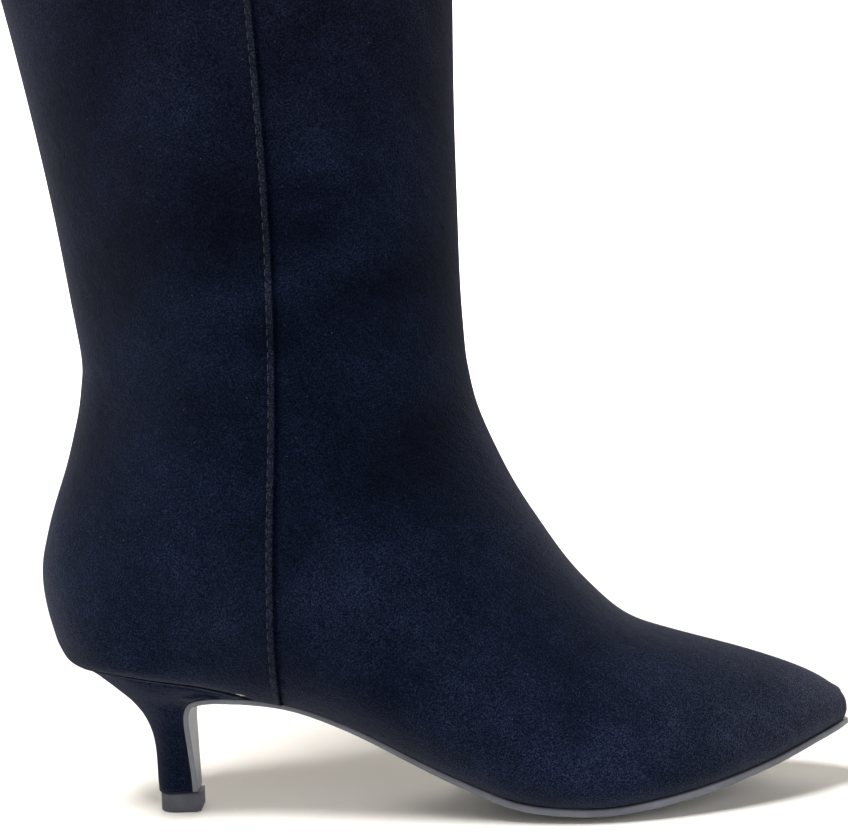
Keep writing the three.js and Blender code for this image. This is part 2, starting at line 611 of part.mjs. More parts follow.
// A solid from closed rings with its two ends closed straight across from side to side.
function loft(ringsOfPoints) {
  const vertices = [];
  const rows = ringsOfPoints.map((ring) => ring.map((p) => vertices.push(p) - 1));
  const count = rows[0].length;
  const cap = (row) => {
    const faces = [];
    for (let c = 0; c < count / 2; c += 1) {
      const there = [row[c], row[c + 1]];
      const back = [row[(count - c - 1) % count], row[(count - c) % count]];
      const corners = [...new Set([...there, ...back])];
      if (corners.length === 4) faces.push(...quad(...corners));
      if (corners.length === 3) faces.push(corners);
    }
    return faces;
  };
  const first = cap(rows[0]).map(([a, b, c]) => [a, c, b]);
  const last = cap(rows[rows.length - 1]);
  return solid(vertices, [...first, ...skin(rows), ...last]);
}

function heelGeometry() {
  const steps = 2 * (heelRows.length - 1);
  return loft(Array.from({ length: steps + 1 }, (_, i) => heelRing((heelRows.length - 1) * i / steps)));
}

// The top piece: flat in front, round behind, under the heel and under the end of the sole's flap.
function topPieceGeometry() {
  const front = breastCurves.x(0) * footLength + waistThickness;
  const back = heelRows[0].back * footLength + tipSetIn;
  const side = heelRows[0].wide * heelWidth / 2 - tipSetIn;
  const frontSide = breastRows[0].half * heelWidth / 2 + gap;
  const shape = new THREE.Shape();
  shape.moveTo(front, -frontSide);
  shape.lineTo(front, frontSide);
  shape.lineTo(back + side, side);
  shape.absarc(back + side, 0, side, Math.PI / 2, 3 * Math.PI / 2, false);
  shape.closePath();
  const geometry = new THREE.ExtrudeGeometry(shape, {
    depth: tipHeight - 2 * tipBevel,
    bevelThickness: tipBevel,
    bevelSize: tipBevel,
    bevelOffset: -tipBevel,
    bevelSegments: 1,
    curveSegments: tipSegments,
  });
  geometry.translate(0, 0, tipBevel);
  return geometry;
}

// Finishes
const suede = new THREE.MeshStandardMaterial({ color: 0x171a26, roughness: 0.95, metalness: 0 });
const heelSuede = suede.clone();
const resinRubber = new THREE.MeshStandardMaterial({ color: 0x33353c, roughness: 0.35, metalness: 0 });
const hardRubber = new THREE.MeshStandardMaterial({ color: 0x4a4c54, roughness: 0.6, metalness: 0 });
const board = new THREE.MeshStandardMaterial({ color: 0x2a2624, roughness: 0.8, metalness: 0 });

const boot = new THREE.Group();
const pieces = [
  ['upper', upperGeometry(), suede],
  ['outsole', outsoleGeometry(), resinRubber],
  ['heel', heelGeometry(), heelSuede],
  ['top_piece', topPieceGeometry(), hardRubber],
  ['insole', insoleGeometry(), board],
];
for (const [name, geometry, material] of pieces) {
  const mesh = new THREE.Mesh(geometry, material);
  mesh.name = name;
  boot.add(mesh);
}

// The origin is under the middle of the whole boot, on the floor.
const box = new THREE.Box3().setFromObject(boot);
const middle = box.getCenter(new THREE.Vector3());
boot.position.set(-middle.x, -middle.y, 0);

export default boot;
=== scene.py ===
# %% [markdown]
# # A suede boot, dressed around its solids
# The boot is a right one: pointed toe, low curved heel, plain pull-on shaft. Five solids hold its real
# shape: upper, outsole, heel, top piece and insole. This script gives each its surface, piece by piece. We
# could only paint the solids, but their flat facets would show in every highlight. So each one is copied
# and smoothed, the flat top piece by a bevel and the others with a subdivision surface, and finished with
# folds, stitches and nap.

# %% Load the frame
import math
import random

import bmesh
import bpy
from mathutils import Matrix, Vector
from mathutils.bvhtree import BVHTree


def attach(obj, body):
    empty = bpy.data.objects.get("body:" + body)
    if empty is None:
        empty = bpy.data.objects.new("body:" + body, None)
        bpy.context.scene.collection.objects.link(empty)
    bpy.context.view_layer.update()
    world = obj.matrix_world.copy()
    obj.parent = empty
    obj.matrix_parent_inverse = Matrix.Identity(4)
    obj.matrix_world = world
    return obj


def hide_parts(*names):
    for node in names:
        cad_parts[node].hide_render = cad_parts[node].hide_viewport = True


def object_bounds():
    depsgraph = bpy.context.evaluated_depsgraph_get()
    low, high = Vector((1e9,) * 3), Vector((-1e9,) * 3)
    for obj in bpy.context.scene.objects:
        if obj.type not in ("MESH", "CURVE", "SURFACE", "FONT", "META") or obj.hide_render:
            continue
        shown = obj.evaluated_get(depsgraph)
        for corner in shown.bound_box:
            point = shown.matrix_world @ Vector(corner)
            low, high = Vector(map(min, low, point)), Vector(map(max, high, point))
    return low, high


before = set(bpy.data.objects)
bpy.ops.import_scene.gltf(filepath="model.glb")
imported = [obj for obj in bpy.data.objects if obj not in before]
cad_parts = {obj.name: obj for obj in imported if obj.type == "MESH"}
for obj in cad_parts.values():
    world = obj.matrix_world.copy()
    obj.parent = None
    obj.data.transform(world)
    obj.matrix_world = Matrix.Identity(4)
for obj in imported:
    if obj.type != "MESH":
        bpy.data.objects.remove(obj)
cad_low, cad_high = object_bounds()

MM = 0.001
boot_length = cad_high.x - cad_low.x
boot_height = cad_high.z - cad_low.z
print(f"boot: {boot_length / MM:.0f} mm long, {boot_height / MM:.0f} mm high")

# %% [markdown]
# ## Camera
# The picture was taken from the outer side, a little above the ankle and about 60 cm away, with the camera
# rolled by two degrees. The roll could be made by tilting the boot, but a boot stands level, so it is the
# camera that turns. The focal length is given in pixels of the picture.

# %% Camera
picture_width = 848
picture_height = 832
focal_pixels = 1780
camera_place = Vector((2.3, -599.7, 155.0)) * MM
camera_pitch = math.radians(2.354)
camera_roll = math.radians(2.2)

forward = Vector((0, math.cos(camera_pitch), -math.sin(camera_pitch)))
level = forward.cross(Vector((0, 0, 1))).normalized()
upright = level.cross(forward)
right = level * math.cos(camera_roll) - upright * math.sin(camera_roll)
top = level * math.sin(camera_roll) + upright * math.cos(camera_roll)
camera_data = bpy.data.cameras.new("camera")
camera_data.sensor_fit = "HORIZONTAL"
camera_data.sensor_width = 36
camera_data.lens = camera_data.sensor_width * focal_pixels / picture_width
camera = bpy.data.objects.new("camera", camera_data)
camera.matrix_world = Matrix.Translation(camera_place) @ Matrix((right, top, -forward)).transposed().to_4x4()
bpy.context.scene.collection.objects.link(camera)
bpy.context.scene.camera = camera
print(f"lens: {camera_data.lens:.1f} mm")

# %% [markdown]
# ## Materials
# Every finish is a small network of nodes. One function adds a node with its settings, values and links,
# and one turns a colour as a designer writes it, sRGB hex, into the linear numbers that the renderer works
# with. Patterns are given by the real size of their grain, because the objects are in metres.

# %% Helpers for materials
def linear(hex_colour):
    """An sRGB hex colour as linear red, green, blue and alpha."""
    shares = [int(hex_colour[i:i + 2], 16) / 255 for i in (1, 3, 5)]
    return [c / 12.92 if c <= 0.04045 else ((c + 0.055) / 1.055) ** 2.4 for c in shares] + [1.0]


def per_metre(millimetres):
    """The scale of a pattern whose grain has this size."""
    return 1 / (millimetres * MM)


def add_node(tree, kind, values=None, links=None, **settings):
    """Adds a shader node with its options and input values, and links its inputs to other outputs."""
    new = tree.nodes.new("ShaderNode" + kind)
    for name, value in settings.items():
        setattr(new, name, value)
    for socket, value in (values or {}).items():
        new.inputs[socket].default_value = value
    for socket, source in (links or {}).items():
        tree.links.new(source, new.inputs[socket])
    return new


def new_material(name, **values):
    """A material with a Principled shader, whose constant values are set on its own sockets."""
    material = bpy.data.materials.new(name)
    material.use_nodes = True
    shader = material.node_tree.nodes["Principled BSDF"]
    for socket, value in values.items():
        shader.inputs[socket.replace("_", " ")].default_value = value
    return material, material.node_tree, shader


def grain(tree, size, detail=3.0, roughness=0.5, stretch=(1, 1, 1), turn=(0, 0, 0)):
    """Noise with grains of one size in millimetres, stretched and turned in the object's own space."""
    place = add_node(tree, "TexCoord").outputs["Object"]
    mapped = add_node(
        tree, "Mapping", {"Scale": stretch, "Rotation": turn}, {"Vector": place}, vector_type="TEXTURE",
    )
    noise = add_node(
        tree, "TexNoise", {"Scale": per_metre(size), "Detail": detail, "Roughness": roughness},
        {"Vector": mapped.outputs["Vector"]},
    )
    return noise.outputs["Fac"]


def along(tree, axis, first, last):
    """A soft rise from 0 to 1 between two places, in millimetres, on an axis of the boot."""
    place = add_node(tree, "TexCoord").outputs["Object"]
    value = add_node(tree, "SeparateXYZ", links={"Vector": place}).outputs[axis]
    return add_node(
        tree, "MapRange", {"From Min": first * MM, "From Max": last * MM}, {"Value": value},
        interpolation_type="SMOOTHSTEP",
    ).outputs["Result"]


def ramp(tree, source, stops):
    """Colours over a value: stops are pairs of a place from 0 to 1 and a hex colour."""
    new = add_node(tree, "ValToRGB", links={"Fac": source})
    points = new.color_ramp.elements
    while len(points) < len(stops):
        points.new(0.5)
    for point, (place, colour) in zip(points, stops):
        point.position = place
        point.color = linear(colour)
    return new.outputs["Color"]


def mix(tree, share, first, second, blend="MIX"):
    """Mixes two colours. The share is a number or another node's output."""
    new = add_node(tree, "Mix", data_type="RGBA", blend_type=blend)
    for socket, value in ((0, share), (6, first), (7, second)):
        if isinstance(value, bpy.types.NodeSocket):
            tree.links.new(value, new.inputs[socket])
        else:
            new.inputs[socket].default_value = value
    return new.outputs[2]


def bump(tree, source, height_mm, below=None):
    """Raises the surface by a pattern of this height, on top of another bump if there is one."""
    links = {"Height": source}
    if below is not None:
        links["Normal"] = below
    values = {"Strength": 1.0, "Distance": height_mm * MM}
    return add_node(tree, "Bump", values, links).outputs["Normal"]


# %% [markdown]
# ### Suede
# Suede is the flesh side of a hide, buffed until its fibres stand up as a nap. It has no gloss at all, but
# the fibre tips catch light at grazing angles, so the outline looks paler and greyer than the middle. Sheen
# gives that. Where a hand has brushed the nap the other way it looks darker or lighter, in soft patches.
#
# The upper is worked more than the heel cover. The strip of suede between the stitches and the folded edge
# is rubbed pale and its edge has lost its nap. The shade under that edge is painted shade: the colour is
# darkened there. The folds carry painted light too: a hollow is painted darker, as painted shade, and a
# ridge paler, as a painted highlight. So the upper carries two numbers at each point, both in millimetres:
# the distance from the seam, below zero behind it, and the depth of the folds, below zero in a hollow. The
# painted shades and highlights are laid over the colour as an overlay: #bcbcbc changes nothing, paler
# tones brighten and darker ones darken.

# %% Tones of seams and folds
seam_reach_mm = 4.0
fold_reach_mm = 1.0
rubbed_tone = "#3b3d4a"
seam_band = [(-2.2, "#000000"), (-1.7, "#c0c0c0"), (-0.3, "#c0c0c0"), (0.1, "#000000")]
seam_sheen = [(-0.9, "#a5a5a5"), (-0.2, "#303030"), (0.5, "#303030"), (1.5, "#a5a5a5")]
# Painted shade by the seam: darker just in front of the folded edge, where its lap shades the suede, and
# faintly just behind the stitch row.
seam_painted_shade = [
    (-3.6, "#bcbcbc"), (-2.7, "#a8a8ac"), (-2.2, "#b4b4b6"), (-1.7, "#bcbcbc"), (-0.3, "#bcbcbc"),
    (0.1, "#96969c"), (1.2, "#96969c"), (2.4, "#b4b4b8"), (3.2, "#bcbcbc"),
]
# Painted shade in the hollows of the folds and a painted highlight on their ridges, by depth in millimetres.
fold_painted_shade_and_highlight = [(-1.0, "#90909a"), (0.0, "#bcbcbc"), (1.0, "#eeeeee")]


def seam_ramp(tree, stops):
    """Tones over the distance from the nearest side seam."""
    distance = add_node(tree, "Attribute", attribute_name="seam_mm").outputs["Fac"]
    share = add_node(
        tree, "MapRange", {"From Min": -seam_reach_mm, "From Max": seam_reach_mm}, {"Value": distance},
    ).outputs["Result"]
    return ramp(tree, share, [((mm + seam_reach_mm) / (2 * seam_reach_mm), colour) for mm, colour in stops])


def fold_ramp(tree, stops):
    """Painted shade and highlight over the depth of the folds."""
    depth = add_node(tree, "Attribute", attribute_name="fold_mm").outputs["Fac"]
    share = add_node(
        tree, "MapRange", {"From Min": -fold_reach_mm, "From Max": fold_reach_mm}, {"Value": depth},
    ).outputs["Result"]
    return ramp(tree, share, [((mm + fold_reach_mm) / (2 * fold_reach_mm), colour) for mm, colour in stops])


# %% [markdown]
# The colour itself is made in layers, from coarse to fine: where on the boot, patches two fingers wide,
# strokes of a brush a few millimetres wide, and single tufts of fibre. The tufts are painted near black
# between, as painted shade, and pale at the tip, as painted glints: the fine sparkle of the nap.

# %% Suede
def make_suede(name, worked=False):
    """Patches, strokes and fibres in layers. A worked piece adds seam tones, and painted shade and highlight
    of seams and folds.
    """
    material, tree, shader = new_material(
        name, Roughness=1.0, Specular_IOR_Level=0.0, Sheen_Weight=0.38, Sheen_Roughness=0.42,
        Sheen_Tint=linear("#8e919d"),
    )
    patches = grain(tree, 42, detail=3, roughness=0.55)
    low_tone = ramp(tree, patches, [(0.34, "#161e33"), (0.5, "#1d263c"), (0.66, "#272f48")])
    ankle_tone = ramp(tree, patches, [(0.34, "#0d1424"), (0.5, "#121b2f"), (0.66, "#19233a")])
    high_tone = ramp(tree, patches, [(0.34, "#121524"), (0.5, "#191d2f"), (0.66, "#21263a")])
    # The paler toe is partly the nap's own tone and partly painted light, for the light its upward faces
    # catch.
    toe_tone_with_painted_light = ramp(tree, patches, [(0.34, "#2d3344"), (0.5, "#373d4e"), (0.66, "#43485a")])
    ankle = along(tree, "Z", 45, 118)
    shaft = along(tree, "Z", 150, 300)
    toe = along(tree, "X", 50, 158)
    brushed = mix(tree, toe, mix(tree, shaft, mix(tree, ankle, low_tone, ankle_tone), high_tone), toe_tone_with_painted_light)
    if worked:
        brushed = mix(tree, seam_ramp(tree, seam_band), brushed, linear(rubbed_tone))
        tree.links.new(seam_ramp(tree, seam_sheen), shader.inputs["Sheen Weight"])
    strokes = grain(tree, 5, detail=4, roughness=0.65, stretch=(1.8, 1, 0.7), turn=(0, 0.6, 0))
    stroke_tone = ramp(tree, strokes, [(0.32, "#aeb0b8"), (0.5, "#d6d8dc"), (0.68, "#ffffff")])
    toned = mix(tree, 0.45, brushed, stroke_tone, "MULTIPLY")
    fibres = grain(tree, 0.5, detail=3, roughness=0.85)
    # Painted shade between the tufts and painted glints on their tips.
    fibre_shade_and_glint = ramp(tree, fibres, [(0.38, "#14161c"), (0.51, "#7c7e8a"), (0.6, "#ffffff")])
    coloured = mix(tree, 0.9, toned, fibre_shade_and_glint, "MULTIPLY")
    if worked:
        # The seam's painted shade is laid over the colour here.
        coloured = mix(tree, 1.0, coloured, seam_ramp(tree, seam_painted_shade), "OVERLAY")
        # The folds' painted shade and highlight are laid over the colour here.
        coloured = mix(tree, 1.0, coloured, fold_ramp(tree, fold_painted_shade_and_highlight), "OVERLAY")
    tree.links.new(coloured, shader.inputs["Base Color"])
    soft = bump(tree, strokes, 0.3)
    nap = bump(tree, fibres, 0.3, below=soft)
    tree.links.new(nap, shader.inputs["Normal"])
    return material


suede = make_suede("suede_navy")
upper_suede = make_suede("suede_navy_upper", worked=True)

# %% [markdown]
# ### Sole, top piece, leather and thread
# The sole of such a boot is a thin sheet of resin rubber with a painted edge: a coat gives it its slight
# gloss. The top piece under the heel is moulded of harder rubber, darker and matt. Inside, the sock is
# smooth leather with a low shine, and the lining a dull black microfibre. The thread is near-black
# polyester: it looks paler than the nap because it has some shine.

# %% Sole, top piece, leather and thread
def make_smooth(name, dark, light, patch_mm, rough, pores_mm, pore_height_mm, coat=0.0):
    """A plain finish: two close tones in patches, and pores as a fine bump."""
    material, tree, shader = new_material(name, Roughness=rough, Coat_Weight=coat, Coat_Roughness=0.25)
    patches = grain(tree, patch_mm, detail=4)
    tree.links.new(ramp(tree, patches, [(0.35, dark), (0.68, light)]), shader.inputs["Base Color"])
    pores = grain(tree, pores_mm, detail=3, roughness=0.6)
    tree.links.new(bump(tree, pores, pore_height_mm), shader.inputs["Normal"])
    return material


sole_rubber = make_smooth("resin_rubber_grey", "#4a4e59", "#5b606b", 14, 0.42, 1.4, 0.03, coat=0.12)
heel_rubber = make_smooth("moulded_rubber_grey", "#363841", "#454750", 6, 0.7, 0.6, 0.03)
sock_leather = make_smooth("sock_leather_black", "#1b1a1c", "#262427", 9, 0.5, 0.9, 0.06)
lining_cloth = make_smooth("lining_microfibre", "#131316", "#1c1b1e", 12, 0.8, 0.5, 0.05)
thread = make_smooth("polyester_thread", "#0e1018", "#161a24", 1.5, 0.85, 0.35, 0.05)

# %% [markdown]
# ## From solid to surface
# A solid comes as loose triangles. We merge its doubled corners and pair the triangles into quads, because
# a subdivision surface rounds quads evenly. Its sharp edges get a crease, which keeps them tight. Remeshing
# would be the other way, but it would lose the thin step of the seam.

# %% Helpers for surfaces
def copy_of_solid(name):
    """A bmesh of a solid with merged corners and paired triangles."""
    bm = bmesh.new()
    bm.from_mesh(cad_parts[name].data)
    bm.edges.layers.float.new("crease_edge")
    bmesh.ops.remove_doubles(bm, verts=bm.verts, dist=0.01 * MM)
    bmesh.ops.join_triangles(
        bm, faces=bm.faces, angle_face_threshold=math.radians(60), angle_shape_threshold=math.pi,
    )
    bmesh.ops.recalc_face_normals(bm, faces=bm.faces)
    quads = sum(len(face.verts) == 4 for face in bm.faces)
    print(f"{name}: {quads} quads of {len(bm.faces)} faces")
    return bm


def sharp_edges(bm, degrees):
    """Edges whose two faces meet at more than an angle."""
    limit = math.radians(degrees)
    return [e for e in bm.edges if len(e.link_faces) == 2 and e.calc_face_angle(0) > limit]


def crease(bm, edges, amount):
    """Gives edges a crease: 0 is fully rounded by the subdivision surface and 1 stays sharp."""
    layer = bm.edges.layers.float["crease_edge"]
    for edge in edges:
        edge[layer] = amount


def smoothed(bm, levels, rounds=3):
    """The bmesh after a subdivision surface that still passes through every corner of the solid. A plain one
    shrinks where the solid curves tightly, as at the toe, so the corners are first pushed out by as much."""
    targets = [vert.co.copy() for vert in bm.verts]
    mesh = bpy.data.meshes.new("cage")
    cage = bpy.data.objects.new("cage", mesh)
    bpy.context.scene.collection.objects.link(cage)
    surface = cage.modifiers.new("surface", "SUBSURF")
    surface.levels = levels
    surface.render_levels = levels
    for _ in range(rounds):
        bm.to_mesh(mesh)
        mesh.update()
        reached = cage.evaluated_get(bpy.context.evaluated_depsgraph_get()).data.vertices
        for vert, target, now in zip(bm.verts, targets, reached):
            vert.co += target - now.co
    bm.to_mesh(mesh)
    bm.free()
    mesh.update()
    finished = bmesh.new()
    finished.from_object(cage, bpy.context.evaluated_depsgraph_get())
    bpy.data.objects.remove(cage)
    bpy.data.meshes.remove(mesh)
    return finished


def make_piece(bm, name, material, replaces=None):
    """Turns a bmesh into a piece of the boot."""
    mesh = bpy.data.meshes.new(name)
    bm.to_mesh(mesh)
    bm.free()
    mesh.materials.append(material)
    mesh.shade_smooth()
    piece = bpy.data.objects.new(name, mesh)
    bpy.context.scene.collection.objects.link(piece)
    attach(piece, "root")
    if replaces:
        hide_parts(replaces)
    print(f"{name}: {len(mesh.polygons)} faces")
    return piece


# %% [markdown]
# ## The upper
# The upper is cut as two panels. The rear one laps over the front one in a raised seam down each side. We
# read the line of that seam from the solid itself, where its upright edges turn sharply outward.

# %% Find the side seams
upper = copy_of_solid("upper")
turned = sharp_edges(upper, 35)
seam_reach = 25 * MM
seam_guess = cad_low.x + 0.3 * boot_length


def is_upright(edge):
    run = edge.verts[1].co - edge.verts[0].co
    middle = (edge.verts[0].co + edge.verts[1].co) / 2
    return abs(run.z) > 0.8 * run.length and abs(middle.x - seam_guess) < seam_reach


lap_edges = [e for e in turned if is_upright(e) and e.calc_face_angle_signed(0) > 0]
seam_line = {}
for side in (-1, 1):
    points = {v for e in lap_edges for v in e.verts if v.co.y * side > 0}
    seam_line[side] = sorted(((v.co.z, v.co.x) for v in points))
    print(f"seam {side}: {len(points)} points")


def seam_x(side, z):
    """Where the folded edge of the seam lies at a height."""
    rows = seam_line[side]
    for (z0, x0), (z1, x1) in zip(rows, rows[1:]):
        if z <= z1:
            share = (z - z0) / max(z1 - z0, 1e-9)
            return x0 + share * (x1 - x0)
    return rows[-1][1]


# %% [markdown]
# The inner wall will carry the lining. It is all that can be reached from one face inside the shaft without
# stepping over a rim. Its faces get the second material, a mark that the subdivision surface keeps.

# %% Helpers for the inner wall
def nearest_face(bm, place):
    """The face whose middle is nearest to a place."""
    return min(bm.faces, key=lambda face: (face.calc_center_median() - place).length)


def faces_within(first, borders):
    """The faces that can be reached from one face without crossing the border edges."""
    reached = {first}
    waiting = [first]
    while waiting:
        for edge in waiting.pop().edges:
            if edge in borders:
                continue
            for face in edge.link_faces:
                if face not in reached:
                    reached.add(face)
                    waiting.append(face)
    return reached


# %% [markdown]
# Only the rims and the seams are sharp on a real upper: a rim is a folded edge, about as round as the suede
# is thick. The very tip of the toe also turns sharply in the solid, but suede pulled over a last is round
# there.

# %% Smooth the upper
rims = [e for e in turned if any(abs(f.normal.z) > 0.6 for f in e.link_faces) and not is_upright(e)]
crease(upper, rims, 0.45)
inner_wall = faces_within(nearest_face(upper, Vector((seam_guess, 0, 0.6 * boot_height))), set(rims))
for face in inner_wall:
    face.material_index = 1
print(f"inner wall: {len(inner_wall)} faces")
crease(upper, [e for e in turned if is_upright(e)], 0.7)
groove_depth = 0.15 * MM
groove = {v for e in turned if is_upright(e) and e.calc_face_angle_signed(0) < 0 for v in e.verts}
for vert in groove:
    vert.co += Vector((0, -math.copysign(groove_depth, vert.co.y), 0))
upper = smoothed(upper, 2)

# %% [markdown]
# ### Folds
# A boot that has been worn a little keeps soft folds: at the front of the ankle, where it bends, above the
# stiffener at the back, and over the ball of the foot. Each row is one fold, placed in shares of the boot's
# length and height. Its depth is in millimetres, a hollow below zero and a ridge above. We move the points
# straight to the side by a soft bell, which never tears or kinks the surface. A cloth simulation would fold
# the upper too, but not where this boot has its folds.

# %% Folds of the upper
fold_rows = [
    # side, x share, z share, half length, half width, lean in degrees, depth
    (-1, 0.115, 0.395, 26, 9, 10, -0.9),
    (-1, 0.120, 0.450, 28, 10, 6, 0.5),
    (-1, 0.150, 0.250, 30, 16, 12, 0.4),
    (-1, 0.245, 0.205, 14, 7, -8, 0.5),
    (-1, 0.500, 0.375, 20, 8, 38, -0.9),
    (-1, 0.470, 0.435, 18, 8, 30, 0.4),
    (-1, 0.392, 0.617, 13, 2.8, -6, -0.8),
    (-1, 0.384, 0.645, 9, 5, 0, 0.5),
    (-1, 0.300, 0.580, 22, 9, -14, -0.8),
    (-1, 0.397, 0.580, 10, 4.5, -6, -0.8),
    (-1, 0.408, 0.550, 12, 6, 10, 0.5),
    (-1, 0.352, 0.527, 18, 4.5, 12, 0.5),
    (-1, 0.328, 0.474, 17, 6, -6, -1.0),
    (-1, 0.453, 0.514, 18, 6, 22, -0.8),
    (-1, 0.180, 0.760, 12, 50, -8, -0.7),
    (-1, 0.520, 0.230, 36, 20, -32, 0.4),
    (-1, 0.640, 0.125, 16, 7, -52, -0.4),
    (-1, 0.670, 0.056, 26, 9, 3, 0.5),
    (-1, 0.895, 0.088, 14, 6, 15, 0.3),
    (1, 0.115, 0.395, 26, 9, 10, -0.9),
    (1, 0.500, 0.375, 20, 8, 38, -0.9),
    (1, 0.345, 0.600, 24, 7, -10, -0.9),
    (1, 0.360, 0.540, 22, 6, 8, 0.5),
    (1, 0.330, 0.470, 20, 6, -8, -0.8),
    (1, 0.640, 0.125, 16, 7, -52, -0.4),
]


def fold_depth(place, side):
    """How far all folds of one side move a point, in metres."""
    depth = 0
    for row_side, x_share, z_share, length, width, lean, row_depth in fold_rows:
        if row_side != side:
            continue
        dx = place.x - (cad_low.x + x_share * boot_length)
        dz = place.z - z_share * boot_height
        angle = math.radians(lean)
        lengthwise = (dx * math.cos(angle) + dz * math.sin(angle)) / (length * MM)
        across = (dz * math.cos(angle) - dx * math.sin(angle)) / (width * MM)
        depth += row_depth * MM * math.exp(-lengthwise * lengthwise - across * across)
    return depth


def outward(place):
    """Straight to the side, away from the middle of the boot."""
    return Vector((0, 1, 0)) if place.y > 0 else Vector((0, -1, 0))


middle_fade = 12 * MM
# The depth is kept on each point. The suede paints hollows darker and ridges paler by it, as painted shade
# and painted highlight.
fold_layer = upper.verts.layers.float.new("fold_mm")
for vert in upper.verts:
    side = 1 if vert.co.y > 0 else -1
    fade = min(abs(vert.co.y) / middle_fade, 1)
    depth = fold_depth(vert.co, side) * fade * fade * (3 - 2 * fade)
    vert[fold_layer] = depth / MM
    vert.co += outward(vert.co) * depth
upper.normal_update()
upper_tree = BVHTree.FromBMesh(upper)
seam_layer = upper.verts.layers.float.new("seam_mm")
for vert in upper.verts:
    behind = vert.co.x - seam_x(1 if vert.co.y > 0 else -1, vert.co.z)
    vert[seam_layer] = max(-2 * seam_reach_mm, min(2 * seam_reach_mm, behind / MM))

# %% [markdown]
# ### Lining
# Inside, the suede is lined with thin microfibre, up to a band at the collar where the suede itself is
# turned in. The lining is a copy of the inner wall, cut off level below that band, moved clear of it and
# thickened.

# %% Lining
turn_in = 9 * MM
lining_clearance = 0.12 * MM
lining_thickness = 0.4 * MM
lining = upper.copy()
bmesh.ops.delete(lining, geom=[f for f in lining.faces if f.material_index == 0], context="FACES")
for face in upper.faces:
    face.material_index = 0
bmesh.ops.bisect_plane(
    lining, geom=lining.verts[:] + lining.edges[:] + lining.faces[:], plane_no=(0, 0, 1),
    plane_co=(0, 0, cad_high.z - turn_in), clear_outer=True,
)
lining.normal_update()
inward = lining.verts.layers.float_vector.new("inward")
for face in lining.faces:
    face.material_index = 0
for vert in lining.verts:
    vert[inward] = vert.normal
    vert.co += vert.normal * lining_clearance
room_side = bmesh.ops.extrude_face_region(lining, geom=lining.faces[:], use_keep_orig=True)["geom"]
for vert in (g for g in room_side if isinstance(g, bmesh.types.BMVert)):
    vert.co += vert[inward] * lining_thickness
bmesh.ops.recalc_face_normals(lining, faces=lining.faces)
open_edges = sum(len(edge.link_faces) != 2 for edge in lining.edges)
print(f"lining: {open_edges} open edges")
make_piece(lining, "lining", lining_cloth)
upper_piece = make_piece(upper, "upper_suede", upper_suede, "upper")

# %% [markdown]
# ## Stitches
# Each side seam is held by a row of thread two millimetres behind its folded edge. A stitch is a short rod
# of thread that dips into the suede at both ends. We make one as a stretched ball and lay it along the
# seam, on the surface that a ray finds there. A row of real thread would be a cord, but only its tops can
# be seen.

# %% Stitches
stitch_pitch = 3.7 * MM
stitch_length = 2.4 * MM
stitch_width = 0.4 * MM
stitch_behind = 2.0 * MM
stitch_lift = 0.06 * MM
stitch_margin = 1 * MM
seam_start = 0.3 * MM
ray_reach = 200 * MM


def surface_at(x, z, side):
    """The point and the normal of the upper's outside at a place on one side."""
    start = Vector((x, side * ray_reach, z))
    place, normal, _, _ = upper_tree.ray_cast(start, Vector((0, -side, 0)))
    return place, normal


def add_stitch(bm, start, end, normal):
    """A stretched ball between two points of the surface, lifted a little out of it."""
    run = (end - start).normalized()
    across = normal.cross(run).normalized()
    out = run.cross(across)
    turn = Matrix((run, across, out)).transposed().to_4x4()
    middle = (start + end) / 2 + out * stitch_lift
    size = Matrix.Diagonal((stitch_length / 2, stitch_width / 2, stitch_width / 2, 1))
    bmesh.ops.create_uvsphere(
        bm, u_segments=8, v_segments=6, radius=1, matrix=Matrix.Translation(middle) @ turn @ size,
    )


stitches = bmesh.new()
count = 0
for side in (-1, 1):
    z = seam_line[side][0][0] + seam_start
    while z + stitch_length < cad_high.z - stitch_margin:
        ends = [surface_at(seam_x(side, h) - stitch_behind, h, side) for h in (z, z + stitch_length)]
        if all(place for place, _ in ends):
            add_stitch(stitches, ends[0][0], ends[1][0], (ends[0][1] + ends[1][1]).normalized())
            count += 1
        z += stitch_pitch
print(f"seam stitches: {count}")
make_piece(stitches, "seam_stitches", thread)

# %% [markdown]
# The collar is turned in and held by one more row, a few millimetres below its edge. Rays from all round
# find the surface there, and the row is walked in steps of one stitch, so the stitches are even on any
# shape.

# %% Stitches of the collar
collar_row_below = 3.5 * MM
collar_rays = 720
collar_height = cad_high.z - collar_row_below
collar_ring = [v.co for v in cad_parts["upper"].data.vertices if v.co.z > cad_high.z - stitch_margin]
collar_middle = sum(collar_ring, Vector()) / len(collar_ring)
collar_line = []
for step in range(collar_rays):
    angle = 2 * math.pi * step / collar_rays
    way = Vector((math.cos(angle), math.sin(angle), 0))
    start = Vector((collar_middle.x, collar_middle.y, collar_height)) + way * ray_reach
    place, normal, _, _ = upper_tree.ray_cast(start, -way)
    collar_line.append((place, normal))
collar_stitches = bmesh.new()
count = 0
begin = collar_line[0]
for place, normal in collar_line[1:]:
    walked = (place - begin[0]).length
    if begin[1] is not None and walked >= stitch_length:
        add_stitch(collar_stitches, begin[0], place, (begin[1] + normal).normalized())
        count += 1
        begin = (place, None)
    elif begin[1] is None and walked >= stitch_pitch - stitch_length:
        begin = (place, normal)
print(f"collar stitches: {count}")
make_piece(collar_stitches, "collar_stitches", thread)

# %% [markdown]
# ## A fleck of glue
# Where the rear panel meets the seat of the heel, a little glue was squeezed out and dried pale and matt.
# It is made of three small balls, stretched and pressed flat on the surface. Its place is given by its
# pixel in the picture: a straight way leads from the camera through that pixel, to the depth of the heel's
# outer side.

